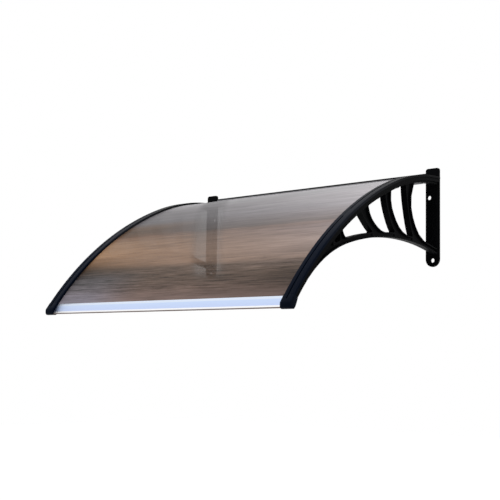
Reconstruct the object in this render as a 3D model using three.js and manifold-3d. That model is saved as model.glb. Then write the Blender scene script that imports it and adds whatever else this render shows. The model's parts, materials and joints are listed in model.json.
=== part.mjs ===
// A door canopy: an arched sheet held between two moulded wall brackets.
// Sizes are in millimetres. X runs along the wall, Y points into the wall, Z is up.
// The origin is on the back of the wall seal, at mid-width and a little above the sheet.
// Side outlines are drawn as (reach, height), where reach is the distance out from the wall.
// A depth is measured square to the arch, down from the top of the cover strips.

import * as THREE from 'three';
import { mergeVertices } from 'three/addons/utils/BufferGeometryUtils.js';
import Module from 'manifold-3d';

const wasm = await Module();
wasm.setup();

// Fits, and how far joined and cutting shapes run past each other
const fitGap = 0.3;
const looseGap = 0.5;
const overlap = 1;

// The arch that the strips, the sheet, the gaskets and the bracket arms share: a tight arc that
// leaves the wall level, then the main arc
const canopyWidth = 1000;
const wallArcRadius = 647;
const archRadius = 1081;
const archStartAngle = 0;
const archJoinAngle = THREE.MathUtils.degToRad(22.1);
const sheetRearHeight = -19.3;
const sheetEndAngle = THREE.MathUtils.degToRad(53.4);
const armOverrun = 2;
const archSteps = 30;
const shortSteps = 4;
const bowSteps = 7;

// Layers through the arch at a bracket
const stripHeight = 6.7;
const sheetThickness = 5;
const gasketThickness = 1.4;
const ledgeThickness = 3;
const armHeight = 9;

// Widths across a bracket, each set in from the strip's outer edge
const stripWidth = 36;
const ledgeInset = 3;
const ledgeWidth = 31;
const lipThickness = 3;
const bodyInset = 8;
const bodyWidth = 20;
const gasketWidth = 22;

// Cover strip section
const stripEdgeRadius = 2.2;
const grooveWidth = 4;
const grooveDepth = 2.4;
const grooveOffset = -2.5;
const bridgeReach = 463;
const bridgeLength = 42;
const bridgeDepth = 0.5;

// Wall flange of a bracket
const flangeThickness = 6;
const flangeInset = 4.5;
const flangeWidth = 48;
const flangeTop = 20;
const flangeBottom = -288;
const flangeTopRadius = 8;
const wallHoleDiameter = 14;
const lowerHoleRise = 20;
const upperHoleHeight = -72;
const flangeRibInset = 22;
const flangeRibWidth = 2.5;
const flangeRibHeight = 3;
const flangeRibTop = -92;
const flangeRibBottom = -226;

// Lower arch of a bracket: one long arc from the wall, then a tighter haunch into the arm
const lowerCrownReach = 220;
const lowerCrownHeight = -223.6;
const lowerArchRadius = 853;
const haunchRadius = 400;
const lowerArchHeight = 15;

// Moulded section of a bracket
const rimWidth = 3.5;
const recessDepth = 6;
const armCornerRadius = 3;
const footCornerRadius = 8.5;

// Openings and struts in turn along the arm, from the rim at the wall outwards
const wallRimReach = 12;
const firstOpeningArm = 130;
const firstStrutArm = 44;
const secondOpeningArm = 78;
const secondStrutArm = 30;
const thirdOpeningArm = 84;
const thirdStrutArm = 36;
const fourthOpeningArm = 84;
const noseStrutArm = 12;
const noseOpeningArm = 23;

// The same openings and struts along the lower arch
const firstOpeningFoot = 30;
const firstStrutFoot = 105;
const secondOpeningFoot = 31;
const secondStrutFoot = 64;
const thirdOpeningFoot = 32;
const thirdStrutFoot = 80;
const fourthOpeningFoot = 128;
const noseStrutFoot = 26;
const noseOpeningFoot = 32;

// How far the two sides of a strut bulge away from the wall, and how full the bulge is
const firstStrutWallBow = 56;
const firstStrutFrontBow = 7;
const secondStrutWallBow = 27;
const secondStrutFrontBow = 8;
const thirdStrutWallBow = 23;
const thirdStrutFrontBow = 3;
const noseStrutWallBow = 2;
const strutFullness = 2.6;

// Lug on the web at the foot of each of the three wide struts
const lugLength = 11;
const lugHeight = 12;
const lugRelief = 2;

// Clamp screws, up through the arm, the gasket and the sheet into the strip
const firstScrewSetback = 68;
const screwSetback = 39;
const screwDiameter = 4;
const screwHeadDiameter = 9;
const screwHeadHeight = 3.2;
const screwTipDepth = 4.2;
const screwSides = 12;

// Front rail, an aluminium extrusion that closes the sheet's front edge
const railWall = 1.5;
const railTopGrip = 3;
const railUnderGrip = 12;
const railFaceHeight = 30;
const railFaceLean = THREE.MathUtils.degToRad(13);
const railBottomWidth = 9;
const railLip = 5;

// Rear rail on the sheet's wall edge, and the seal that fills the space behind it
const rearRailWall = 1.7;
const rearRailGrip = 14;
const rearUpstand = 25.3;
const sealFoot = 5;

// End caps on the arm noses
const capTopLength = 26;
const capNoseRadius = 9;
const capNoseBulge = 3;
const capBottomDrop = 40;
const capHeelChamfer = 3;
const capWall = 1.5;
const tongueWidth = 12;
const tongueHeight = 4;
const tongueLength = 14;
const capPlugLength = 16;

// The arms, strips and gaskets run a little past the sheet's front edge, and the caps follow them
const armEndAngle = sheetEndAngle + armOverrun / archRadius;
const capStartAngle = armEndAngle + fitGap / archRadius;
const capTopEndAngle = armEndAngle + capTopLength / archRadius;

// Depths that follow from the layers
const sheetTopDepth = stripHeight + fitGap;
const sheetUnderDepth = sheetTopDepth + sheetThickness;
const gasketTopDepth = sheetUnderDepth + fitGap;
const gasketUnderDepth = gasketTopDepth + gasketThickness;
const ledgeTopDepth = gasketUnderDepth + fitGap;
const ledgeUnderDepth = ledgeTopDepth + ledgeThickness;
const armUnderDepth = ledgeTopDepth + armHeight;
const sheetMidDepth = sheetTopDepth + sheetThickness / 2;

// Places along X on the right-hand side
const stripOuter = canopyWidth / 2;
const stripInner = stripOuter - stripWidth;
const ledgeOuter = stripOuter - ledgeInset;
const ledgeInner = ledgeOuter - ledgeWidth;
const sheetHalfWidth = ledgeOuter - lipThickness - looseGap;
const bodyOuter = stripOuter - bodyInset;
const bodyInner = bodyOuter - bodyWidth;
const bodyMiddle = (bodyOuter + bodyInner) / 2;
const flangeOuter = stripOuter - flangeInset;
const flangeInner = flangeOuter - flangeWidth;
const railHalfLength = stripInner - fitGap;
const rearHalfLength = flangeInner - fitGap;

// Centres of the two arcs: every layer starts clear of the flange, and the arcs share the radial
// line where they join
const archStartReach = flangeThickness + fitGap
  + (gasketUnderDepth - sheetMidDepth) * Math.sin(archStartAngle);
const sheetRearRadius = wallArcRadius - sheetMidDepth;
const wallArcCentre = new THREE.Vector2(
  archStartReach - sheetRearRadius * Math.sin(archStartAngle),
  sheetRearHeight - sheetRearRadius * Math.cos(archStartAngle),
);
const archCentre = new THREE.Vector2(
  wallArcCentre.x - (archRadius - wallArcRadius) * Math.sin(archJoinAngle),
  wallArcCentre.y - (archRadius - wallArcRadius) * Math.cos(archJoinAngle),
);

function archPoint(depth, angle) {
  const onWallArc = angle < archJoinAngle;
  const centre = onWallArc ? wallArcCentre : archCentre;
  const radius = (onWallArc ? wallArcRadius : archRadius) - depth;
  return new THREE.Vector2(
    centre.x + radius * Math.sin(angle),
    centre.y + radius * Math.cos(angle),
  );
}

function archAngle(depth, reach) {
  if (reach < archPoint(depth, archJoinAngle).x) {
    return Math.asin((reach - wallArcCentre.x) / (wallArcRadius - depth));
  }
  return Math.asin((reach - archCentre.x) / (archRadius - depth));
}

function archArc(depth, fromAngle, toAngle, steps) {
  const points = [];
  for (let i = 0; i <= steps; i += 1) {
    points.push(archPoint(depth, THREE.MathUtils.lerp(fromAngle, toAngle, i / steps)));
  }
  return points;
}

// The lower edge of a bracket is three arcs that meet without a corner: the long lower arch,
// the haunch, and the underside of the arm
const lowerCentre = new THREE.Vector2(lowerCrownReach, lowerCrownHeight - lowerArchRadius);
const haunchCentre = tangentCentre(
  archCentre, archRadius - armUnderDepth - haunchRadius,
  lowerCentre, lowerArchRadius - haunchRadius,
);
const toHaunchFromLower = haunchCentre.clone().sub(lowerCentre).normalize();
const toHaunchFromArm = haunchCentre.clone().sub(archCentre).normalize();

// The upper crossing of two circles
function tangentCentre(centreA, radiusA, centreB, radiusB) {
  const across = centreB.clone().sub(centreA);
  const distance = across.length();
  across.normalize();
  const along = (radiusA ** 2 - radiusB ** 2 + distance ** 2) / (2 * distance);
  const up = Math.sqrt(radiusA ** 2 - along ** 2);
  return new THREE.Vector2(
    centreA.x + across.x * along - across.y * up,
    centreA.y + across.y * along + across.x * up,
  );
}

function lowerEdgeHeight(reach, rise) {
  const haunchStart = lowerCentre.x + toHaunchFromLower.x * (lowerArchRadius + rise);
  const haunchEnd = haunchCentre.x + toHaunchFromArm.x * (haunchRadius + rise);
  let centre = archCentre;
  let radius = archRadius - armUnderDepth + rise;
  if (reach < haunchStart) {
    centre = lowerCentre;
    radius = lowerArchRadius + rise;
  } else if (reach < haunchEnd) {
    centre = haunchCentre;
    radius = haunchRadius + rise;
  }
  return centre.y + Math.sqrt(radius ** 2 - (reach - centre.x) ** 2);
}

function lowerEdge(rise, fromReach, toReach, steps) {
  const points = [];
  for (let i = 0; i <= steps; i += 1) {
    const reach = THREE.MathUtils.lerp(fromReach, toReach, i / steps);
    points.push(new THREE.Vector2(reach, lowerEdgeHeight(reach, rise)));
  }
  return points;
}

// A side between two corners that bulges by the given bow, away from the wall when positive
function bowedSide(from, to, bow, steps) {
  const chord = to.clone().sub(from);
  const normal = new THREE.Vector2(chord.y, -chord.x).normalize();
  if (normal.x < 0) {
    normal.negate();
  }
  const points = [];
  for (let i = 0; i <= steps; i += 1) {
    const t = i / steps;
    const bulge = bow * (1 - Math.abs(2 * t - 1) ** strutFullness);
    points.push(from.clone().addScaledVector(chord, t).addScaledVector(normal, bulge));
  }
  return points;
}

function pathLength(points) {
  let length = 0;
  for (let i = 1; i < points.length; i += 1) {
    length += points[i].distanceTo(points[i - 1]);
  }
  return length;
}

// Cuts a length off the start of a run of points
function trimStart(points, length) {
  let left = length;
  for (let i = 1; i < points.length; i += 1) {
    const step = points[i].distanceTo(points[i - 1]);
    if (step > left) {
      const start = points[i - 1].clone().lerp(points[i], left / step);
      return [start, ...points.slice(i)];
    }
    left -= step;
  }
  return points.slice(-1);
}

// Each opening, and the strut in front of it
const openingRow = [
  {
    arm: firstOpeningArm,
    foot: firstOpeningFoot,
    wallBow: 0,
    frontBow: firstStrutWallBow,
    strutArm: firstStrutArm,
    strutFoot: firstStrutFoot,
  },
  {
    arm: secondOpeningArm,
    foot: secondOpeningFoot,
    wallBow: firstStrutFrontBow,
    frontBow: secondStrutWallBow,
    strutArm: secondStrutArm,
    strutFoot: secondStrutFoot,
  },
  {
    arm: thirdOpeningArm,
    foot: thirdOpeningFoot,
    wallBow: secondStrutFrontBow,
    frontBow: thirdStrutWallBow,
    strutArm: thirdStrutArm,
    strutFoot: thirdStrutFoot,
  },
  {
    arm: fourthOpeningArm,
    foot: fourthOpeningFoot,
    wallBow: thirdStrutFrontBow,
    frontBow: noseStrutWallBow,
    strutArm: noseStrutArm,
    strutFoot: noseStrutFoot,
  },
  {
    arm: noseOpeningArm,
    foot: noseOpeningFoot,
    wallBow: 0,
    frontBow: 0,
    strutArm: 0,
    strutFoot: 0,
  },
];
let armReach = wallRimReach;
let footReach = wallRimReach;
const openings = openingRow.map(({ arm, foot, wallBow, frontBow, strutArm, strutFoot }) => {
  const opening = {
    armFrom: armReach,
    armTo: armReach + arm,
    footFrom: footReach,
    footTo: footReach + foot,
    wallBow,
    frontBow,
  };
  armReach = opening.armTo + strutArm;
  footReach = opening.footTo + strutFoot;
  return opening;
});

// The lugs stand by the struts behind the middle openings, and every opening but the last takes
// a screw
const luggedOpenings = openings.slice(1, 4);
const screwReaches = openings.slice(0, 4).map(({ armFrom }, i) => (
  armFrom + (i === 0 ? firstScrewSetback : screwSetback)
));
const screwPlaces = screwReaches.flatMap((reach) => [
  { x: bodyMiddle, reach },
  { x: -bodyMiddle, reach },
]);

// A closed outline from sides that run head to tail, each with the radius of its first corner
function roundedOutline(sides, radii) {
  const share = 0.45;
  const cuts = sides.map((side, i) => {
    const previous = sides[(i + sides.length - 1) % sides.length];
    return Math.min(radii[i], share * pathLength(side), share * pathLength(previous));
  });
  const outline = [];
  sides.forEach((side, i) => {
    const next = (i + 1) % sides.length;
    const started = trimStart(side, cuts[i]);
    const trimmed = trimStart(started.reverse(), cuts[next]).reverse();
    const following = trimStart(sides[next], cuts[next]);
    const corner = side[side.length - 1];
    const turn = new THREE.QuadraticBezierCurve(trimmed[trimmed.length - 1], corner, following[0]);
    outline.push(...trimmed.slice(0, -1), ...turn.getPoints(3).slice(0, -1));
  });
  return outline;
}

// Moves a closed outline square to itself, outwards when positive
function offsetOutline(points, distance) {
  const turn = Math.sign(THREE.ShapeUtils.area(points));
  return points.map((point, i) => {
    const before = points[(i + points.length - 1) % points.length];
    const after = points[(i + 1) % points.length];
    const edgeIn = point.clone().sub(before).normalize();
    const edgeOut = after.clone().sub(point).normalize();
    const normal = new THREE.Vector2(edgeIn.y + edgeOut.y, -edgeIn.x - edgeOut.x).normalize();
    const stretch = 1 / Math.max(0.5, normal.dot(new THREE.Vector2(edgeOut.y, -edgeOut.x)));
    return point.clone().addScaledVector(normal, turn * distance * stretch);
  });
}

// Turns an outline to run clockwise or anticlockwise
function wound(points, clockwise) {
  return THREE.ShapeUtils.isClockWise(points) === clockwise ? points : points.toReversed();
}

// A side outline as a plate between two places along X
function sidePlate(points, xFrom, xTo, holes = []) {
  const shape = new THREE.Shape(wound(points, false));
  shape.holes = holes.map((hole) => new THREE.Path(wound(hole, true)));
  const low = Math.min(xFrom, xTo);
  const high = Math.max(xFrom, xTo);
  const geometry = new THREE.ExtrudeGeometry(shape, { depth: high - low, bevelEnabled: false });
  const turned = new THREE.Matrix4().makeBasis(
    new THREE.Vector3(0, -1, 0),
    new THREE.Vector3(0, 0, 1),
    new THREE.Vector3(-1, 0, 0),
  );
  return geometry.applyMatrix4(turned.setPosition(high, 0, 0));
}

// An outline in X and Z as a plate between two reaches
function wallPlate(shape, reachFrom, reachTo) {
  const geometry = new THREE.ExtrudeGeometry(shape, {
    depth: reachTo - reachFrom,
    bevelEnabled: false,
    curveSegments: 10,
  });
  const turned = new THREE.Matrix4().makeBasis(
    new THREE.Vector3(1, 0, 0),
    new THREE.Vector3(0, 0, 1),
    new THREE.Vector3(0, -1, 0),
  );
  return geometry.applyMatrix4(turned.setPosition(0, -reachFrom, 0));
}

class ArchCurve extends THREE.Curve {
  constructor(fromAngle, toAngle, x) {
    super();
    this.fromAngle = fromAngle;
    this.toAngle = toAngle;
    this.x = x;
  }

  getPoint(t, target = new THREE.Vector3()) {
    const point = archPoint(0, THREE.MathUtils.lerp(this.fromAngle, this.toAngle, t));
    return target.set(this.x, -point.x, point.y);
  }
}

// A section drawn as (across, depth) and swept along the arch, with across measured along X
function archSweep(section, x, fromAngle, toAngle, steps = archSteps) {
  const turned = section.map((point) => new THREE.Vector2(-point.x, point.y));
  return new THREE.ExtrudeGeometry(new THREE.Shape(turned), {
    steps,
    bevelEnabled: false,
    extrudePath: new ArchCurve(fromAngle, toAngle, x),
  });
}

function rectangle(acrossFrom, acrossTo, depthFrom, depthTo) {
  return [
    new THREE.Vector2(acrossFrom, depthFrom),
    new THREE.Vector2(acrossTo, depthFrom),
    new THREE.Vector2(acrossTo, depthTo),
    new THREE.Vector2(acrossFrom, depthTo),
  ];
}

// A round bar square to the arch, between two depths
function archPin(x, reach, depthFrom, depthTo, diameter) {
  const angle = archAngle(0, reach);
  const top = archPoint(depthFrom, angle);
  const bottom = archPoint(depthTo, angle);
  const length = depthTo - depthFrom;
  const geometry = new THREE.CylinderGeometry(diameter / 2, diameter / 2, length, screwSides);
  geometry.rotateX(Math.PI / 2);
  geometry.rotateX(angle);
  return geometry.translate(x, -(top.x + bottom.x) / 2, (top.y + bottom.y) / 2);
}

function solid(geometry) {
  const bare = geometry.clone();
  bare.deleteAttribute('normal');
  bare.deleteAttribute('uv');
  const merged = mergeVertices(bare, 1e-4);
  return new wasm.Manifold(new wasm.Mesh({
    numProp: 3,
    vertProperties: Float32Array.from(merged.attributes.position.array),
    triVerts: Uint32Array.from(merged.index.array),
  }));
}

function join(...geometries) {
  return geometries.map(solid).reduce((all, next) => all.add(next));
}

function cut(body, ...geometries) {
  return geometries.map(solid).reduce((left, next) => left.subtract(next), body);
}

function geometryOf(body) {
  const mesh = body.getMesh();
  const geometry = new THREE.BufferGeometry();
  geometry.setAttribute('position', new THREE.BufferAttribute(mesh.vertProperties, 3));
  geometry.setIndex(new THREE.BufferAttribute(mesh.triVerts, 1));
  geometry.computeVertexNormals();
  return geometry;
}

// The curved sheet, drilled for the clamp screws
function sheet() {
  const top = archArc(sheetTopDepth, archStartAngle, sheetEndAngle, archSteps);
  const under = archArc(sheetUnderDepth, archStartAngle, sheetEndAngle, archSteps);
  const plate = sidePlate([...top, ...under.reverse()], -sheetHalfWidth, sheetHalfWidth);
  const drills = screwPlaces.map(({ x, reach }) => archPin(
    x, reach, sheetTopDepth - overlap, sheetUnderDepth + overlap, screwDiameter + 2 * fitGap,
  ));
  return cut(solid(plate), ...drills);
}

// Outline of one opening in a bracket
function openingOutline(opening) {
  const armFrom = archPoint(armUnderDepth, archAngle(armUnderDepth, opening.armFrom));
  const armTo = archPoint(armUnderDepth, archAngle(armUnderDepth, opening.armTo));
  const footTo = new THREE.Vector2(opening.footTo, lowerEdgeHeight(opening.footTo, lowerArchHeight));
  const footFrom = new THREE.Vector2(
    opening.footFrom,
    lowerEdgeHeight(opening.footFrom, lowerArchHeight),
  );
  return roundedOutline([
    archArc(
      armUnderDepth,
      archAngle(armUnderDepth, opening.armFrom), archAngle(armUnderDepth, opening.armTo), shortSteps,
    ),
    bowedSide(armTo, footTo, opening.frontBow, bowSteps),
    lowerEdge(lowerArchHeight, opening.footTo, opening.footFrom, shortSteps),
    bowedSide(footFrom, armFrom, opening.wallBow, bowSteps),
  ], [armCornerRadius, armCornerRadius, footCornerRadius, footCornerRadius]);
}

// The shallow recess on one face of a bracket, which leaves rims round every edge and opening
function recess(faceFrom, faceTo, outlines) {
  const front = archPoint(armUnderDepth, armEndAngle);
  const armEdge = archArc(
    armUnderDepth, archAngle(armUnderDepth, wallRimReach), armEndAngle, archSteps / 2,
  );
  const area = sidePlate([...armEdge, new THREE.Vector2(wallRimReach, front.y)], faceFrom, faceTo);
  const rimFrom = Math.min(faceFrom, faceTo) - overlap;
  const rimTo = Math.max(faceFrom, faceTo) + overlap;
  const lowerRim = sidePlate(
    [
      ...lowerEdge(rimWidth, 0, front.x, archSteps),
      new THREE.Vector2(front.x, front.y - overlap),
      new THREE.Vector2(0, front.y - overlap),
    ],
    rimFrom, rimTo,
  );
  const rims = outlines.map((outline) => (
    sidePlate(offsetOutline(outline, rimWidth), rimFrom, rimTo)
  ));
  return cut(solid(area), lowerRim, ...rims);
}

// Wall flange with a rounded foot
function flangeShape(side) {
  const middle = side * (flangeOuter + flangeInner) / 2;
  const half = flangeWidth / 2;
  const cornerAcross = half - flangeTopRadius;
  const cornerHeight = flangeTop - flangeTopRadius;
  const shape = new THREE.Shape();
  shape.moveTo(middle - half, flangeBottom + half);
  shape.absarc(middle, flangeBottom + half, half, Math.PI, 2 * Math.PI, false);
  shape.lineTo(middle + half, cornerHeight);
  shape.absarc(middle + cornerAcross, cornerHeight, flangeTopRadius, 0, Math.PI / 2);
  shape.absarc(middle - cornerAcross, cornerHeight, flangeTopRadius, Math.PI / 2, Math.PI);
  shape.holes = [
    circlePath(middle, flangeBottom + lowerHoleRise, wallHoleDiameter / 2),
    circlePath(side * (flangeInner + bodyInner) / 2, upperHoleHeight, wallHoleDiameter / 2),
  ];
  return shape;
}

function circlePath(x, z, radius) {
  const path = new THREE.Path();
  path.absarc(x, z, radius, 0, 2 * Math.PI, true);
  return path;
}

function box(xFrom, xTo, reachFrom, reachTo, zFrom, zTo) {
  const geometry = new THREE.BoxGeometry(
    Math.abs(xTo - xFrom), reachTo - reachFrom, zTo - zFrom,
  );
  return geometry.translate((xFrom + xTo) / 2, -(reachFrom + reachTo) / 2, (zFrom + zTo) / 2);
}

// One moulded bracket: wall flange, arm with its ledge and lip, struts and lower arch
function bracket(side) {
  const rootReach = flangeThickness / 2;
  const armStart = archAngle(ledgeTopDepth + overlap, rootReach);
  const armEnd = archPoint(armUnderDepth, armEndAngle);
  const outlines = openings.map(openingOutline);
  const body = sidePlate(
    [
      ...archArc(ledgeTopDepth + overlap, armStart, armEndAngle, archSteps),
      ...lowerEdge(0, armEnd.x, rootReach, archSteps),
    ],
    side * bodyInner, side * bodyOuter, outlines,
  );

  const ledge = archSweep([
    new THREE.Vector2(0, ledgeUnderDepth),
    new THREE.Vector2(side * ledgeWidth, ledgeUnderDepth),
    new THREE.Vector2(side * ledgeWidth, sheetTopDepth),
    new THREE.Vector2(side * (ledgeWidth - lipThickness), sheetTopDepth),
    new THREE.Vector2(side * (ledgeWidth - lipThickness), ledgeTopDepth),
    new THREE.Vector2(0, ledgeTopDepth),
  ], side * ledgeInner, archStartAngle, armEndAngle);
  const ledgeRoot = archSweep(
    rectangle(0, side * ledgeWidth, ledgeTopDepth, ledgeUnderDepth),
    side * ledgeInner, armStart, archStartAngle + overlap / wallArcRadius, 1,
  );
  const tongue = archSweep(
    rectangle(-tongueWidth / 2, tongueWidth / 2, ledgeUnderDepth, ledgeUnderDepth + tongueHeight),
    side * bodyMiddle, armEndAngle - overlap / archRadius,
    armEndAngle + tongueLength / archRadius, 2,
  );

  const flange = wallPlate(flangeShape(side), 0, flangeThickness);
  const ribInner = flangeInner + flangeRibInset;
  const rib = box(
    side * ribInner, side * (ribInner + flangeRibWidth),
    rootReach, flangeThickness + flangeRibHeight, flangeRibBottom, flangeRibTop,
  );

  const web = bodyOuter - recessDepth;
  const lugs = luggedOpenings.map(({ footFrom }) => {
    const foot = lowerEdgeHeight(footFrom, rimWidth);
    return box(
      side * (web - overlap), side * (web + lugRelief),
      footFrom - lugLength, footFrom - rimWidth / 2, foot, foot + lugHeight,
    );
  });
  const drills = screwReaches.map((reach) => archPin(
    side * bodyMiddle, reach, ledgeTopDepth - overlap, armUnderDepth + overlap,
    screwDiameter + 2 * fitGap,
  ));
  const moulding = join(body, ledge, ledgeRoot, tongue, flange, rib)
    .subtract(recess(side * (bodyInner - overlap), side * (bodyInner + recessDepth), outlines))
    .subtract(recess(side * web, side * (bodyOuter + overlap), outlines))
    .add(join(...lugs));
  return cut(moulding, ...drills);
}

// Cover strip with two rounded bands, a groove between them and one bridge across the groove
function stripSection() {
  const half = stripWidth / 2;
  const r = stripEdgeRadius;
  const left = grooveOffset - grooveWidth / 2;
  const right = grooveOffset + grooveWidth / 2;
  const shape = new THREE.Shape();
  shape.moveTo(-half, stripHeight);
  shape.lineTo(-half, r);
  shape.quadraticCurveTo(-half, 0, -half + r, 0);
  shape.lineTo(left - r / 2, 0);
  shape.quadraticCurveTo(left, 0, left, r / 2);
  shape.lineTo(left, grooveDepth);
  shape.lineTo(right, grooveDepth);
  shape.lineTo(right, r / 2);
  shape.quadraticCurveTo(right, 0, right + r / 2, 0);
  shape.lineTo(half - r, 0);
  shape.quadraticCurveTo(half, 0, half, r);
  shape.lineTo(half, stripHeight);
  return shape.getPoints(2);
}

function coverStrip(side) {
  const x = side * (stripOuter - stripWidth / 2);
  const strip = archSweep(stripSection(), x, archStartAngle, armEndAngle);
  const bridgeMiddle = archAngle(0, bridgeReach);
  const bridgeHalf = bridgeLength / 2 / archRadius;
  const bridge = archSweep(
    rectangle(
      grooveOffset - grooveWidth / 2 - fitGap, grooveOffset + grooveWidth / 2 + fitGap,
      bridgeDepth, grooveDepth + fitGap,
    ),
    x, bridgeMiddle - bridgeHalf, bridgeMiddle + bridgeHalf, 3,
  );
  const drills = screwReaches.map((reach) => archPin(
    side * bodyMiddle, reach, screwTipDepth - fitGap, stripHeight + overlap,
    screwDiameter + 2 * fitGap,
  ));
  return cut(join(strip, bridge), ...drills);
}

function edgeGasket(side) {
  const strip = archSweep(
    rectangle(-gasketWidth / 2, gasketWidth / 2, gasketTopDepth, gasketUnderDepth),
    side * bodyMiddle, archStartAngle, armEndAngle,
  );
  const drills = screwReaches.map((reach) => archPin(
    side * bodyMiddle, reach, gasketTopDepth - overlap, gasketUnderDepth + overlap,
    screwDiameter + 2 * fitGap,
  ));
  return cut(solid(strip), ...drills);
}

function clampScrew(side, reach) {
  const headTop = armUnderDepth + fitGap;
  const x = side * bodyMiddle;
  return join(
    archPin(x, reach, screwTipDepth, headTop + screwHeadHeight / 2, screwDiameter),
    archPin(x, reach, headTop, headTop + screwHeadHeight, screwHeadDiameter),
  );
}

// Places in the front rail's section: along the sheet past its front edge, and proud of its middle
function atSheetEnd(along, proud) {
  const end = archPoint(sheetMidDepth, sheetEndAngle);
  return new THREE.Vector2(
    end.x + along * Math.cos(sheetEndAngle) + proud * Math.sin(sheetEndAngle),
    end.y - along * Math.sin(sheetEndAngle) + proud * Math.cos(sheetEndAngle),
  );
}

const slotHalf = sheetThickness / 2 + fitGap;
const faceTop = atSheetEnd(railLip, slotHalf + railWall);
const faceFoot = new THREE.Vector2(
  faceTop.x + railFaceHeight * Math.sin(railFaceLean),
  faceTop.y - railFaceHeight * Math.cos(railFaceLean),
);
const railHeel = new THREE.Vector2(faceFoot.x - railBottomWidth, faceFoot.y);

// The hollow of the rail in front of the sheet's edge, drawn in by the given margin
function railChamber(margin) {
  const corners = [
    faceTop,
    faceFoot,
    railHeel,
    atSheetEnd(fitGap, -slotHalf - railWall),
    atSheetEnd(fitGap, slotHalf + railWall),
  ];
  return offsetOutline(corners, -railWall - margin);
}

function frontRail() {
  const outline = [
    atSheetEnd(-railTopGrip, slotHalf + railWall),
    faceTop,
    faceFoot,
    railHeel,
    atSheetEnd(fitGap, -slotHalf - railWall),
    atSheetEnd(-railUnderGrip, -slotHalf - railWall),
    atSheetEnd(-railUnderGrip, -slotHalf),
    atSheetEnd(fitGap, -slotHalf),
    atSheetEnd(fitGap, slotHalf),
    atSheetEnd(-railTopGrip, slotHalf),
  ];
  return solid(sidePlate(outline, -railHalfLength, railHalfLength, [railChamber(0)]));
}

// Reach of the rear rail's inner wall, just behind the sheet's lower rear corner
const rearSlotReach = archStartReach - sheetThickness / 2 * Math.sin(archStartAngle) - fitGap;
const sealThickness = rearSlotReach - rearRailWall - fitGap;

function rearRail() {
  const back = sealThickness + fitGap;
  const bend = rearSlotReach;
  const inner = sheetThickness / 2 + fitGap;
  const outer = inner + rearRailWall;
  const gripAngle = archStartAngle + rearRailGrip / wallArcRadius;
  const outline = [
    new THREE.Vector2(back, sheetRearHeight - outer),
    archPoint(sheetMidDepth + outer, gripAngle),
    archPoint(sheetMidDepth + inner, gripAngle),
    new THREE.Vector2(bend, sheetRearHeight - inner),
    new THREE.Vector2(bend, sheetRearHeight + inner),
    archPoint(sheetMidDepth - inner, gripAngle),
    archPoint(sheetMidDepth - outer, gripAngle),
    new THREE.Vector2(bend, sheetRearHeight + outer),
    new THREE.Vector2(bend, sheetRearHeight + rearUpstand),
    new THREE.Vector2(back, sheetRearHeight + rearUpstand),
  ];
  return solid(sidePlate(outline, -rearHalfLength, rearHalfLength));
}

function wallSeal() {
  return solid(box(
    -rearHalfLength, rearHalfLength, 0, sealThickness,
    sheetRearHeight - sealFoot, sheetRearHeight + rearUpstand,
  ));
}

// Moulded cap over the nose of an arm, with a plug that fills the end of the front rail
function endCap(side) {
  const top = archArc(0, capStartAngle, capTopEndAngle, 4);
  const toe = top[top.length - 1];
  const back = archPoint(armUnderDepth + capWall, capStartAngle);
  const bottom = archPoint(0, armEndAngle).y - capBottomDrop;
  const heel = back.x + (back.y - bottom) / Math.tan(capStartAngle);
  const nose = new THREE.QuadraticBezierCurve(
    toe,
    new THREE.Vector2(toe.x + capNoseBulge, bottom),
    new THREE.Vector2(toe.x - capNoseRadius, bottom),
  );
  const outline = [
    ...top,
    ...nose.getPoints(6).slice(1),
    new THREE.Vector2(heel + capHeelChamfer, bottom),
    new THREE.Vector2(
      heel - capHeelChamfer * Math.cos(capStartAngle),
      bottom + capHeelChamfer * Math.sin(capStartAngle),
    ),
    back,
  ];
  const block = sidePlate(outline, side * stripInner, side * stripOuter);
  const plug = sidePlate(
    railChamber(fitGap), side * (stripInner - capPlugLength), side * (stripInner + overlap),
  );
  const cutStart = capStartAngle - overlap / archRadius;
  const socketHalf = tongueWidth / 2 + fitGap;
  const socket = archSweep(
    rectangle(
      -socketHalf, socketHalf,
      ledgeUnderDepth - fitGap, ledgeUnderDepth + tongueHeight + fitGap,
    ),
    side * bodyMiddle, cutStart, armEndAngle + (tongueLength + fitGap) / archRadius, 2,
  );
  const notch = archSweep(
    rectangle(-grooveWidth / 2, grooveWidth / 2, -overlap, grooveDepth),
    side * (stripOuter - stripWidth / 2) + grooveOffset,
    cutStart, capTopEndAngle + overlap / archRadius, 3,
  );
  return cut(join(block, plug), socket, notch);
}

function material(color, roughness, metalness, extra = {}) {
  return () => new THREE.MeshStandardMaterial({ color, roughness, metalness, ...extra });
}

const blackPlastic = material(0x15171a, 0.42, 0);
const blackRubber = material(0x101010, 0.85, 0);
const bronzeSheet = material(0x7d6c62, 0.25, 0, { transparent: true, opacity: 0.88 });
const satinAluminium = material(0xccd8ee, 0.3, 0.9);
const zincSteel = material(0xb5b8bb, 0.35, 0.9);

const canopy = new THREE.Group();
canopy.name = 'door_canopy';

function place(name, body, finish) {
  const mesh = new THREE.Mesh(geometryOf(body), finish());
  mesh.name = name;
  canopy.add(mesh);
}

place('polycarbonate_sheet', sheet(), bronzeSheet);
place('front_rail', frontRail(), satinAluminium);
place('rear_rail', rearRail(), blackPlastic);
place('wall_seal', wallSeal(), blackRubber);
for (const [hand, side] of [['right', 1], ['left', -1]]) {
  place(`bracket_${hand}`, bracket(side), blackPlastic);
  place(`cover_strip_${hand}`, coverStrip(side), blackPlastic);
  place(`edge_gasket_${hand}`, edgeGasket(side), blackRubber);
  place(`end_cap_${hand}`, endCap(side), blackPlastic);
  screwReaches.forEach((reach, i) => {
    place(`clamp_screw_${hand}_${i + 1}`, clampScrew(side, reach), zincSteel);
  });
}

export default canopy;
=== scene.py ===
import json
import math

import bpy
from mathutils import Matrix, Vector

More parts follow.
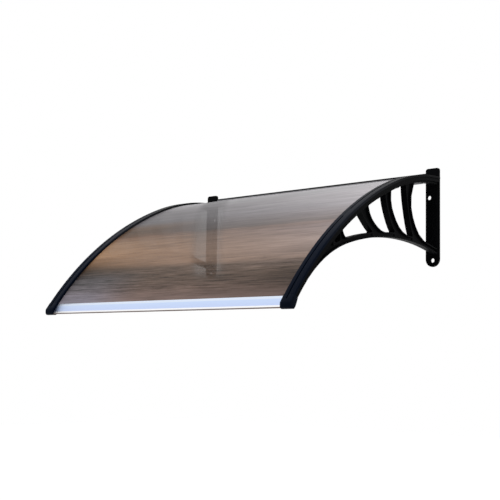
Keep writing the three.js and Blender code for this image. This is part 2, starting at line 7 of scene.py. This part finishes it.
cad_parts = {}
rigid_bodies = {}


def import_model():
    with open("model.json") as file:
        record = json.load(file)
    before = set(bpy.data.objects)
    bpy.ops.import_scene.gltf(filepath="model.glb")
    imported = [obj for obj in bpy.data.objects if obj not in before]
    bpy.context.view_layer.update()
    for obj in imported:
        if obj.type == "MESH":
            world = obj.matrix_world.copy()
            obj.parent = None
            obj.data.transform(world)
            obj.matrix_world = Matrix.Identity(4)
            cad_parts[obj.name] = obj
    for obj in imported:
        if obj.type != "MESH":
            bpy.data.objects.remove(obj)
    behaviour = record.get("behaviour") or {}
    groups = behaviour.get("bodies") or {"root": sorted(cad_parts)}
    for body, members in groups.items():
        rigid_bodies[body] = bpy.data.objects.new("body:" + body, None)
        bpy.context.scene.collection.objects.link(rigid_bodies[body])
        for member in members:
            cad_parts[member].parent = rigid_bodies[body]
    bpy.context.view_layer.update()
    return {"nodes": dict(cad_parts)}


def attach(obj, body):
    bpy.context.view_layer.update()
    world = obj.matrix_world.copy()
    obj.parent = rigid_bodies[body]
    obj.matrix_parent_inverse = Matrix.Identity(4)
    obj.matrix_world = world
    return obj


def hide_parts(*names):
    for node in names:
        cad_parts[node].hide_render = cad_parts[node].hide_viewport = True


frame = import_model()

# Camera: below the canopy and to its right, looking slightly up, with a long lens.
# Its place comes from lining up the edges of the canopy in a picture 500 pixels square.
focal_length_px = 1034.18
picture_px = 500
sensor_mm = 36
camera_place = (2.1531, -2.7528, -0.5924)
camera_yaw = 0.7256
camera_pitch = 0.1091
camera_roll = 0.0194
bpy.ops.object.camera_add()
camera = bpy.context.object
camera.name = "camera"
camera.matrix_world = (
    Matrix.Translation(camera_place)
    @ Matrix.Rotation(camera_yaw, 4, "Z")
    @ Matrix.Rotation(math.pi / 2 + camera_pitch, 4, "X")
    @ Matrix.Rotation(camera_roll, 4, "Z")
)
camera.data.sensor_width = sensor_mm
camera.data.lens = focal_length_px / picture_px * sensor_mm
camera.data.shift_x = 0.0014
camera.data.shift_y = -0.0010
bpy.context.scene.camera = camera
bpy.context.scene.view_settings.view_transform = "Standard"

# Studio: a pale world that the camera, gloss and clear parts see as white, a wide soft lamp
# above the front left, and a weaker one over the wall side. Gloss doesn't mirror the lamps.


class Value:
    """A number that varies over a surface. Sums written with it add Math nodes to its finish."""

    def __init__(self, finish, socket):
        self.finish = finish
        self.socket = socket

    def work(self, operation, *others):
        made = self.finish.node("ShaderNodeMath", {"operation": operation}, [self, *others])
        return Value(self.finish, made.outputs[0])

    def __add__(self, other):
        return self.work("ADD", other)

    __radd__ = __add__

    def __sub__(self, other):
        return self.work("SUBTRACT", other)

    def __rsub__(self, other):
        return self.work("MULTIPLY_ADD", -1.0, other)

    def __mul__(self, other):
        return self.work("MULTIPLY", other)

    __rmul__ = __mul__

    def __truediv__(self, other):
        return self.work("DIVIDE", other)


class Finish:
    """The node tree of one surface or of the world, with its output shader."""

    def __init__(self, owner, shader):
        owner.use_nodes = True
        self.tree = owner.node_tree
        self.shader = self.tree.nodes[shader]

    def node(self, kind, settings, inputs):
        made = self.tree.nodes.new(kind)
        for key, setting in settings.items():
            if key == "stops":
                self.set_stops(made.color_ramp, setting)
            else:
                setattr(made, key, setting)
        pairs = inputs.items() if isinstance(inputs, dict) else enumerate(inputs)
        for key, given in pairs:
            self.feed(made.inputs[key], given)
        return made

    def feed(self, socket, given):
        if isinstance(given, Value):
            self.tree.links.new(given.socket, socket)
        elif isinstance(given, bpy.types.NodeSocket):
            self.tree.links.new(given, socket)
        else:
            socket.default_value = given

    def set_stops(self, ramp, stops):
        while len(ramp.elements) < len(stops):
            ramp.elements.new(1.0)
        for element, (place, colour) in zip(ramp.elements, stops):
            element.position = place
            element.color = (*colour, 1.0)

    def set(self, **inputs):
        for key, given in inputs.items():
            self.feed(self.shader.inputs[key.replace("_", " ")], given)

    def value(self, kind, settings, inputs, output=0):
        return Value(self, self.node(kind, settings, inputs).outputs[output])

    def places(self):
        """The x, y and z of a point of the piece, in metres."""
        here = self.node("ShaderNodeTexCoord", {}, {}).outputs["Object"]
        apart = self.node("ShaderNodeSeparateXYZ", {}, [here])
        return [Value(self, apart.outputs[i]) for i in range(3)]

    def noise(self, place, scale, detail=3.0, roughness=0.5):
        inputs = {"Vector": place, "Scale": scale, "Detail": detail, "Roughness": roughness}
        return self.value("ShaderNodeTexNoise", {"normalize": True}, inputs)

    def point(self, x, y, z):
        return self.node("ShaderNodeCombineXYZ", {}, [x, y, z]).outputs[0]

    def ramp(self, value, stops):
        return self.node("ShaderNodeValToRGB", {"stops": stops}, [value]).outputs[0]

    def bump(self, height, distance, strength=1.0):
        inputs = {"Strength": strength, "Distance": distance, "Height": height}
        self.set(Normal=self.node("ShaderNodeBump", {}, inputs).outputs[0])


def shown(red, green, blue):
    """A colour as a screen shows it, made linear for the shaders."""
    return tuple(
        part / 12.92 if part <= 0.04045 else ((part + 0.055) / 1.055) ** 2.4
        for part in (red / 255, green / 255, blue / 255)
    )


studio = bpy.data.worlds.new("studio")
bpy.context.scene.world = studio
sky = Finish(studio, "Background")
path = sky.node("ShaderNodeLightPath", {}, {})
seen = Value(sky, path.outputs["Is Camera Ray"])
mirrored = Value(sky, path.outputs["Is Glossy Ray"])
passed = Value(sky, path.outputs["Is Transmission Ray"])
diffuse_level = 0.36
bright = seen.work("MAXIMUM", mirrored).work("MAXIMUM", passed)
sky.set(Color=(1.0, 1.0, 1.0, 1.0), Strength=bright * (1.0 - diffuse_level) + diffuse_level)


def soft_lamp(name, place, target, size, watts):
    bpy.ops.object.light_add(type="AREA", location=place)
    lamp = bpy.context.object
    lamp.name = name
    lamp.data.shape = "DISK"
    lamp.data.size = size
    lamp.data.energy = watts
    lamp.visible_glossy = False
    lamp.rotation_mode = "QUATERNION"
    lamp.rotation_quaternion = (Vector(target) - Vector(place)).to_track_quat("-Z", "Y")


soft_lamp("key_lamp", (-1.6, -2.6, 1.9), (0, -0.35, -0.2), 1.6, 45)
soft_lamp("top_lamp", (1.2, -0.2, 2.4), (0.2, -0.35, -0.1), 1.4, 28)

# Floor: a plain pale floor at the height of the ground under a fitted canopy.
# It shows as white and still takes the shadow of the canopy.
ground_height = -2.3
floor_size = 40
bpy.ops.object.select_all(action="DESELECT")
bpy.ops.mesh.primitive_grid_add(
    x_subdivisions=8, y_subdivisions=8, size=floor_size, location=(0, 0, ground_height),
)
floor = bpy.context.object
floor.name = "floor"
floor_paint = bpy.data.materials.new("pale_floor")
floor_finish = Finish(floor_paint, "Principled BSDF")
floor_path = floor_finish.node("ShaderNodeLightPath", {}, {})
floor_seen = Value(floor_finish, floor_path.outputs["Is Camera Ray"])
floor_mirrored = Value(floor_finish, floor_path.outputs["Is Glossy Ray"])
floor_glow = floor_seen.work("MAXIMUM", floor_mirrored) * 0.72
floor_finish.set(
    Base_Color=(0.8, 0.8, 0.8, 1.0), Roughness=0.9,
    Emission_Color=floor_glow, Emission_Strength=1.0,
)
floor.data.materials.append(floor_paint)

# Wall brackets: one moulded piece each in black glass-filled plastic, with a wall flange, an arm,
# a ledge with a lip that the sheet lies on, curved struts, a lower arch and recessed faces.


def moulded_plastic(name, tone, grain, gloss=0.02):
    """Black moulded plastic: faint cloudiness, a fine pebbled skin and slightly uneven gloss."""
    paint = bpy.data.materials.new(name)
    finish = Finish(paint, "Principled BSDF")
    place = finish.node("ShaderNodeTexCoord", {}, {}).outputs["Object"]
    cloud = finish.noise(place, 14.0, 4.0)
    skin = finish.noise(place, grain, 2.0)
    darker = tuple(0.7 * part for part in tone)
    lighter = tuple(1.35 * part for part in tone)
    finish.set(
        Base_Color=finish.ramp(cloud, [(0.3, darker), (0.7, lighter)]),
        Roughness=0.34 + 0.14 * cloud,
    )
    finish.shader.inputs["Specular IOR Level"].default_value = gloss
    finish.bump(skin, 0.00012, 0.35)
    return paint


black_plastic = moulded_plastic("black_plastic", shown(10, 11, 13), 1400.0)


def deselect():
    """Leaves edit mode and clears the selection, so the next step starts clean."""
    if bpy.context.object and bpy.context.object.mode == "EDIT":
        bpy.ops.object.mode_set(mode="OBJECT")
    bpy.ops.object.select_all(action="DESELECT")


def copy_of_node(node, name):
    """The CAD solid as a new mesh with its triangles merged back into flat faces."""
    deselect()
    source = frame["nodes"][node]
    source.select_set(True)
    bpy.context.view_layer.objects.active = source
    bpy.ops.object.duplicate()
    piece = bpy.context.object
    bpy.ops.object.parent_clear(type="CLEAR_KEEP_TRANSFORM")
    piece.name = name
    piece.data.name = name
    piece.data.materials.clear()
    bpy.ops.object.mode_set(mode="EDIT")
    bpy.ops.mesh.select_all(action="SELECT")
    bpy.ops.mesh.remove_doubles(threshold=0.00002)
    bpy.ops.mesh.customdata_custom_splitnormals_clear()
    bpy.ops.mesh.dissolve_limited(angle_limit=math.radians(0.4))
    bpy.ops.object.mode_set(mode="OBJECT")
    return piece


def fit_piece(piece, paint, node):
    """Gives a finished piece its material and its body in the frame, and hides the CAD part it
    stands for.
    """
    piece.data.materials.append(paint)
    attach(piece, "root")
    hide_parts(node)


for hand in ("right", "left"):
    bracket = copy_of_node(f"bracket_{hand}", f"moulded_bracket_{hand}")
    bpy.ops.object.shade_smooth_by_angle(angle=math.radians(30))
    fit_piece(bracket, black_plastic, f"bracket_{hand}")

# Edge gaskets: flat rubber strips that lie between the ledges and the sheet.
rubber = moulded_plastic("black_rubber", shown(13, 13, 14), 2600.0, 0.05)


def round_edges(piece, width, segments=2, angle=30):
    """Rounds the sharp edges of a piece and smooths what is left."""
    deselect()
    piece.select_set(True)
    bpy.context.view_layer.objects.active = piece
    bevel = piece.modifiers.new("edge_rounding", "BEVEL")
    bevel.width = width
    bevel.segments = segments
    bevel.limit_method = "ANGLE"
    bevel.angle_limit = math.radians(angle)
    bpy.ops.object.modifier_apply(modifier=bevel.name)
    bpy.ops.object.shade_smooth_by_angle(angle=math.radians(angle))


for hand in ("right", "left"):
    gasket = copy_of_node(f"edge_gasket_{hand}", f"rubber_gasket_{hand}")
    round_edges(gasket, 0.0002, 1)
    fit_piece(gasket, rubber, f"edge_gasket_{hand}")

# Sheet: one arched sheet of bronze-tinted polycarbonate between the arms. It leaves the wall level
# on a tight arc and runs into the main arc. Its colour lies in soft bands with fine streaks.
arch_radius = 1.081
wall_arc_radius = 0.647
arch_join = math.radians(22.1)
arch_step = math.radians(0.4)
sheet_end = math.radians(53.68)
strip_height = 0.0067
gap = 0.0003
sheet_rear = (-0.0063, -0.0193)
sheet_thickness = 0.005
sheet_half_width = 0.4935
sheet_top = strip_height + gap
sheet_middle = sheet_top + sheet_thickness / 2
sheet_under = sheet_top + sheet_thickness
wall_arc_centre = Vector((0, sheet_rear[0], sheet_rear[1] - (wall_arc_radius - sheet_middle)))
arch_centre = wall_arc_centre + (arch_radius - wall_arc_radius) * Vector((
    0, math.sin(arch_join), -math.cos(arch_join),
))


def on_arch(x, depth, angle):
    """A point under the crown of the arch, turned down towards the front by an angle."""
    near_wall = angle < arch_join
    centre = wall_arc_centre if near_wall else arch_centre
    radius = (wall_arc_radius if near_wall else arch_radius) - depth
    return centre + Vector((x, -radius * math.sin(angle), radius * math.cos(angle)))


def outline(points, name):
    """A flat closed face, drawn by extruding one vertex from corner to corner."""
    deselect()
    bpy.ops.mesh.primitive_plane_add(size=0.001, location=points[0])
    piece = bpy.context.object
    piece.name = name
    piece.data.name = name
    bpy.ops.object.transform_apply(location=True, rotation=True, scale=True)
    bpy.ops.object.mode_set(mode="EDIT")
    bpy.ops.mesh.select_all(action="SELECT")
    bpy.ops.mesh.merge(type="CENTER")
    for corner, following in zip(points, points[1:]):
        bpy.ops.mesh.extrude_region_move(TRANSFORM_OT_translate={"value": following - corner})
    bpy.ops.mesh.select_all(action="SELECT")
    bpy.ops.mesh.edge_face_add()
    return piece


def sweep_on_arch(section, start, end, name):
    """A section drawn as x and depth, spun about the arch's two centres into a closed solid."""
    piece = outline([on_arch(x, depth, start) for x, depth in section], name)
    bpy.ops.mesh.select_all(action="SELECT")
    here = start
    for centre, there in ((wall_arc_centre, min(arch_join, end)), (arch_centre, end)):
        if there > here:
            bpy.ops.mesh.spin(
                steps=math.ceil((there - here) / arch_step), angle=there - here,
                center=centre, axis=(-1, 0, 0),
            )
            here = there
    bpy.ops.mesh.select_all(action="SELECT")
    bpy.ops.mesh.remove_doubles(threshold=0.000001)
    bpy.ops.mesh.select_all(action="DESELECT")
    bpy.ops.mesh.select_interior_faces()
    bpy.ops.mesh.delete(type="ONLY_FACE")
    bpy.ops.mesh.select_all(action="SELECT")
    bpy.ops.mesh.normals_make_consistent(inside=False)
    bpy.ops.object.mode_set(mode="OBJECT")
    return piece


sheet = sweep_on_arch(
    [
        (-sheet_half_width, sheet_top), (sheet_half_width, sheet_top),
        (sheet_half_width, sheet_under), (-sheet_half_width, sheet_under),
    ],
    0, sheet_end, "bronze_sheet",
)
round_edges(sheet, 0.0004, 1)

bronze = bpy.data.materials.new("bronze_sheet")
tint = Finish(bronze, "Principled BSDF")
sheet_x, sheet_y, sheet_z = tint.places()
down_turn = (arch_centre.y - sheet_y).work("ARCTAN2", sheet_z - arch_centre.z) * (180 / math.pi)
wisps = tint.noise(tint.point(sheet_x * 2.2, down_turn * 0.9, 0.0), 1.0, 3.0, 0.6)
streaks = tint.noise(tint.point(sheet_x * 8.0, down_turn * 3.6, 0.0), 1.0, 5.0, 0.75)

# Tones by degrees down from the crown: grey near the wall, partly the sheet's tint and partly a
# painted reflection, a sharp limit to orange, a sharp limit to a dark band, and paler again at the
# front edge
ramp_turn = 60.0
bands = [
    (12.0, (172, 171, 174)), (21.0, (160, 157, 160)), (24.5, (147, 143, 146)),
    (30.0, (136, 132, 135)), (33.0, (120, 114, 115)), (35.5, (110, 102, 100)),
    (36.4, (130, 112, 103)), (41.0, (158, 133, 117)), (45.0, (156, 129, 111)),
    (46.2, (110, 93, 82)), (49.2, (101, 85, 75)), (51.2, (114, 95, 86)), (53.4, (138, 117, 110)),
]
banded = (down_turn - sheet_x) / ramp_turn + (wisps - 0.5) * 0.012 + (streaks - 0.5) * 0.024
sheet_tone = tint.ramp(banded, [(turn / ramp_turn, shown(*colour)) for turn, colour in bands])


def between(value, low, high):
    """Runs smoothly from 0 to 1 while a value runs from low to high."""
    inputs = {"Value": value, "From Min": low, "From Max": high}
    return tint.value("ShaderNodeMapRange", {"interpolation_type": "SMOOTHSTEP"}, inputs)


# A patch over the left flange is clearer, and painted shade of the flange darkens its colour, so
# the flange shows through it
off_flange = sheet_x + 0.15 - (down_turn - 28.0) * 0.0136
clear_shaded_patch = between(off_flange, -0.08, -0.035) * (1.0 - between(off_flange, 0.03, 0.08))
clear_shaded_patch = clear_shaded_patch * (1.0 - between(down_turn, 47.0, 50.0))

# Painted light and shade across the width: it rises to the right in the grey zone and fades to
# both sides lower down
slope = 0.5 + between(down_turn, 21.0, 25.0) * 0.85 - between(down_turn, 34.0, 38.0) * 1.15
slope = slope + between(down_turn, 42.0, 46.0) * 0.50 - between(down_turn, 47.0, 49.5)
curve = 1.3 - between(down_turn, 41.0, 45.0) * 2.9 + between(down_turn, 50.0, 52.0) * 1.2
grained = between(down_turn, 44.0, 47.0) * (1.0 - between(down_turn, 50.5, 53.0))
light = (1.0 + sheet_x * slope + sheet_x * sheet_x * curve) * (1.0 - clear_shaded_patch * 0.25)
light = light * (1.0 + (streaks - 0.5) * (1.1 + 3.0 * grained) + (wisps - 0.5) * 0.7)

# Colour across the width: warmer to the left, but blue-grey in the lower left corner
warm_share = between(down_turn, 35.5, 38.0) * (1.0 - between(down_turn, 44.0, 49.0)) * sheet_x
left_share = 1.0 - between(sheet_x, -0.40, -0.05)
rust_share = between(down_turn, 30.0, 33.0) * (1.0 - between(down_turn, 35.0, 38.0)) * left_share
cool_share = between(down_turn, 45.5, 48.5) * (1.0 - between(sheet_x, -0.36, -0.10))
green_share = 1.0 + warm_share * 0.29 - rust_share * 0.27 + cool_share * 0.30
blue_share = 1.0 + warm_share * 0.75 - rust_share * 0.50 + cool_share * 0.75
balance = tint.point(light, light * green_share, light * blue_share)
toned = tint.node("ShaderNodeVectorMath", {"operation": "MULTIPLY"}, [sheet_tone, balance])
tint.set(
    Base_Color=toned.outputs[0],
    Roughness=0.30 + 0.12 * streaks,
    Alpha=0.90 - 0.17 * clear_shaded_patch,
)
tint.shader.inputs["Specular IOR Level"].default_value = 0.05
tint.bump(streaks, 0.0003, 0.2)
fit_piece(sheet, bronze, "polycarbonate_sheet")

# Cover strips: a moulded strip over each edge of the sheet, with two rounded bands, a groove
# between them and a short bridge across the groove. Screws from below pull it down.
half_canopy = 0.5
strip_width = 0.036
strip_end = math.radians(53.5)
groove_width = 0.004
groove_depth = 0.0024
groove_offset = -0.0025
edge_radius = 0.0022
bridge_reach = 0.463
bridge_length = 0.042
bridge_depth = 0.0005
bridge_middle = math.asin((bridge_reach + arch_centre.y) / arch_radius)
bridge_half = bridge_length / 2 / arch_radius
strip_plastic = bpy.data.materials.new("strip_plastic")
skin = Finish(strip_plastic, "Principled BSDF")
skin_x, skin_y, skin_z = skin.places()
skin_cloud = skin.noise(skin.point(skin_x, skin_y, skin_z), 9.0, 4.0)
skin_rise = skin_z / 0.5 + 1.0
# Base colour by height: navy low down, a painted sheen as a grey band on the upper part, dark near
# the top
strip_tone_and_painted_sheen = skin.ramp(skin_rise + (skin_cloud - 0.5) * 0.1, [
    (0.10, shown(9, 16, 29)), (0.45, shown(11, 19, 33)), (0.72, shown(38, 40, 46)),
    (0.86, shown(36, 37, 40)), (0.97, shown(18, 19, 20)),
])
skin.set(Base_Color=strip_tone_and_painted_sheen, Roughness=0.36 + 0.12 * skin_cloud)
skin.shader.inputs["Specular IOR Level"].default_value = 0.02


def curve_through(start, control, end, steps):
    """Points on the curve that leaves a start and reaches an end towards one control point."""
    return [
        (1 - i / steps) ** 2 * start + 2 * (i / steps) * (1 - i / steps) * control
        + (i / steps) ** 2 * end
        for i in range(steps + 1)
    ]


def strip_section(middle):
    """The section of a strip as x and depth, with its upper corners rounded."""
    half = strip_width / 2
    low = groove_offset - groove_width / 2
    high = groove_offset + groove_width / 2
    small = edge_radius / 2

    def at(x, depth):
        return Vector((middle + x, depth))

    section = [at(-half, strip_height)]
    section += curve_through(at(-half, edge_radius), at(-half, 0), at(-half + edge_radius, 0), 4)
    section += curve_through(at(low - small, 0), at(low, 0), at(low, small), 4)
    section += [at(low, groove_depth), at(high, groove_depth)]
    section += curve_through(at(high, small), at(high, 0), at(high + small, 0), 4)
    section += curve_through(at(half - edge_radius, 0), at(half, 0), at(half, edge_radius), 4)
    section += [at(half, strip_height)]
    return section


for hand, side in (("right", 1), ("left", -1)):
    middle = side * (half_canopy - strip_width / 2)
    strip = sweep_on_arch(strip_section(middle), 0, strip_end, f"moulded_strip_{hand}")
    bridge_from = middle + groove_offset - groove_width / 2 - gap
    bridge_to = middle + groove_offset + groove_width / 2 + gap
    bridge = sweep_on_arch(
        [
            (bridge_from, bridge_depth), (bridge_to, bridge_depth),
            (bridge_to, groove_depth + gap), (bridge_from, groove_depth + gap),
        ],
        bridge_middle - bridge_half, bridge_middle + bridge_half, "groove_bridge",
    )
    deselect()
    bridge.select_set(True)
    strip.select_set(True)
    bpy.context.view_layer.objects.active = strip
    bpy.ops.object.join()
    bpy.ops.object.shade_smooth_by_angle(angle=math.radians(35))
    fit_piece(strip, strip_plastic, f"cover_strip_{hand}")

# Front rail: an extruded aluminium section that grips the front edge of the sheet and ends in a
# plain leaning face with a return under its foot. Its colour is painted reflection: the face is a
# pale blue painted sky reflection between painted white highlight lines, with painted brown shade
# under the foot.
rail_half = 0.4637
rail_wall = 0.0015
under_grip = 0.012
top_grip = 0.003
face_start = 0.005
face_height = 0.030
face_lean = math.radians(28)
return_width = 0.009
slot_half = sheet_thickness / 2 + gap
sheet_edge = on_arch(0, sheet_middle, sheet_end)
forward = Vector((0, -math.cos(sheet_end), -math.sin(sheet_end)))
proud = Vector((0, -math.sin(sheet_end), math.cos(sheet_end)))


def by_edge(along, above):
    """A point of the rail's section, along the sheet past its edge and above its middle."""
    return sheet_edge + forward * along + proud * above


outer = slot_half + rail_wall
face_top = by_edge(face_start, outer)
face_foot = face_top + face_height * Vector((0, -math.sin(face_lean), -math.cos(face_lean)))
rail_points = [
    by_edge(-top_grip, outer), face_top, face_foot,
    face_foot + Vector((0, return_width, 0)), by_edge(gap, -outer),
    by_edge(-under_grip, -outer), by_edge(-under_grip, -slot_half),
    by_edge(gap, -slot_half), by_edge(gap, slot_half), by_edge(-top_grip, slot_half),
]


def slab(points, x_from, x_to, name):
    """A side outline made solid between two places along the wall."""
    piece = outline([Vector((x_from, point.y, point.z)) for point in points], name)
    bpy.ops.mesh.select_all(action="SELECT")
    bpy.ops.mesh.extrude_region_move(TRANSFORM_OT_translate={"value": (x_to - x_from, 0, 0)})
    bpy.ops.mesh.select_all(action="SELECT")
    bpy.ops.mesh.normals_make_consistent(inside=False)
    bpy.ops.object.mode_set(mode="OBJECT")
    return piece


rail = slab(rail_points, -rail_half, rail_half, "front_edge_rail")
round_edges(rail, 0.0006)

aluminium = bpy.data.materials.new("satin_aluminium")
metal = Finish(aluminium, "Principled BSDF")
metal_x, metal_y, metal_z = metal.places()
drawn = metal.noise(metal.point(metal_x * 1.2, metal_y * 900.0, metal_z * 900.0), 1.0, 3.0)
reflection_wobble = metal.noise(metal.point(metal_x * 3.0, metal_y * 8.0, metal_z * 8.0), 1.0, 3.0)
# Painted reflections down the face, from the top edge: a white highlight, the pale blue sky
# reflection, a white highlight line, then brown shade and ground reflection on the return under
# the foot; a noise wobbles their edges
fall = (face_top.z - metal_z) / (face_height * math.cos(face_lean))
rail_painted_reflections = metal.ramp(fall + (reflection_wobble - 0.5) * 0.04, [
    (0.00, shown(224, 234, 250)), (0.06, shown(204, 221, 250)), (0.68, shown(200, 215, 248)),
    (0.73, shown(252, 252, 254)), (0.86, shown(250, 250, 251)), (0.91, shown(112, 96, 92)),
    (1.00, shown(100, 86, 82)),
])
metal.set(Base_Color=rail_painted_reflections, Metallic=1.0, Roughness=0.30 + 0.10 * drawn)
metal.bump(drawn, 0.00005, 0.3)
fit_piece(rail, aluminium, "front_rail")

# Rear rail: a profile on the wall edge of the sheet, with an upright wing against the seal.
# It is grey where it grips the sheet and has a thin black lip along its top.
rear_rail = copy_of_node("rear_rail", "rear_edge_rail")
round_edges(rear_rail, 0.0004)
rail_plastic = bpy.data.materials.new("rear_rail_plastic")
wing = Finish(rail_plastic, "Principled BSDF")
wing_x, wing_y, wing_z = wing.places()
wing_cloud = wing.noise(wing.point(wing_x, wing_y, wing_z), 20.0, 3.0)
wing_tone = wing.ramp(wing_z / 0.05 + 0.5 + (wing_cloud - 0.5) * 0.01, [
    (0.50, shown(150, 149, 152)), (0.54, shown(12, 12, 13)),
])
wing.set(Base_Color=wing_tone, Roughness=0.4 + 0.1 * wing_cloud)
wing.shader.inputs["Specular IOR Level"].default_value = 0.05
fit_piece(rear_rail, rail_plastic, "rear_rail")

# Wall seal: a rubber strip that fills the space between the rear rail and the wall.
seal = copy_of_node("wall_seal", "rubber_wall_seal")
round_edges(seal, 0.0006)
fit_piece(seal, rubber, "wall_seal")

# End caps: moulded caps over the noses of the arms, flush with the strips above and with the arms
# below, with a groove that runs on from the strip. They close the ends of the front rail too.
# A wide block lies under the strip, and a narrower foot below it ends the arm.
cap_start = strip_end + gap / arch_radius
cap_length = 0.0257
cap_groove_turn = 0.012
cut_overrun = 0.001
cap_bottom = -0.4545
heel_corner = Vector((0, -0.7085, cap_bottom))
block_depth = 0.0165
block_inner = 0.464
foot_depth = 0.0235
foot_inner = 0.4715
foot_outer = 0.4925


def change_by(piece, tool, operation):
    """Joins a solid to a piece or cuts it out of it, and deletes the solid."""
    deselect()
    piece.select_set(True)
    bpy.context.view_layer.objects.active = piece
    change = piece.modifiers.new("change", "BOOLEAN")
    change.operation = operation
    change.object = tool
    change.solver = "EXACT"
    bpy.ops.object.modifier_apply(modifier=change.name)
    deselect()
    tool.select_set(True)
    bpy.ops.object.delete()


cap_top = [on_arch(0, 0, cap_start + cap_length * i / 4 / arch_radius) for i in range(5)]
cap_toe = cap_top[-1]
toe_control = Vector((0, cap_toe.y - 0.003, cap_bottom))
toe_end = Vector((0, cap_toe.y + 0.008, cap_bottom))
cap_nose = curve_through(cap_toe, toe_control, toe_end, 8)[1:]
block_back = on_arch(0, block_depth, cap_start)
block_heel = curve_through(heel_corner - Vector((0, 0.0070, 0)), heel_corner, block_back, 5)
foot_back = on_arch(0, foot_depth, cap_start)
foot_heel = curve_through(heel_corner - Vector((0, 0.0065, 0)), heel_corner, foot_back, 5)
foot_top = [on_arch(0, 0.006, cap_start), cap_toe + Vector((0, 0.012, -0.012))]
for hand, side in (("right", 1), ("left", -1)):
    cap = slab(
        cap_top + cap_nose + block_heel,
        side * block_inner, side * half_canopy, f"moulded_cap_{hand}",
    )
    foot = slab(foot_top + foot_heel, side * foot_inner, side * foot_outer, "cap_foot")
    change_by(cap, foot, "UNION")
    groove_at = side * (half_canopy - strip_width / 2) + groove_offset
    groove_from = groove_at - groove_width / 2
    groove_to = groove_at + groove_width / 2
    groove = sweep_on_arch(
        [
            (groove_from, -cut_overrun), (groove_to, -cut_overrun),
            (groove_to, groove_depth), (groove_from, groove_depth),
        ],
        cap_start - cut_overrun, cap_start + cap_groove_turn, "cap_groove",
    )
    change_by(cap, groove, "DIFFERENCE")
    round_edges(cap, 0.0022, 4)
    fit_piece(cap, strip_plastic, f"end_cap_{hand}")

# Clamp screws: zinc-plated, with round heads under the arms. They go up through arm, gasket and
# sheet into the strips and clamp them together.
zinc = bpy.data.materials.new("zinc_steel")
plating = Finish(zinc, "Principled BSDF")
plating_place = plating.node("ShaderNodeTexCoord", {}, {}).outputs["Object"]
bloom = plating.noise(plating_place, 220.0, 3.0)
plating.set(
    Base_Color=plating.ramp(bloom, [(0.3, (0.42, 0.43, 0.45)), (0.7, (0.58, 0.58, 0.57))]),
    Metallic=1.0,
    Roughness=0.28 + 0.16 * bloom,
)
for hand in ("right", "left"):
    for number in range(1, 5):
        screw = copy_of_node(f"clamp_screw_{hand}_{number}", f"pan_screw_{hand}_{number}")
        round_edges(screw, 0.0005)
        fit_piece(screw, zinc, f"clamp_screw_{hand}_{number}")
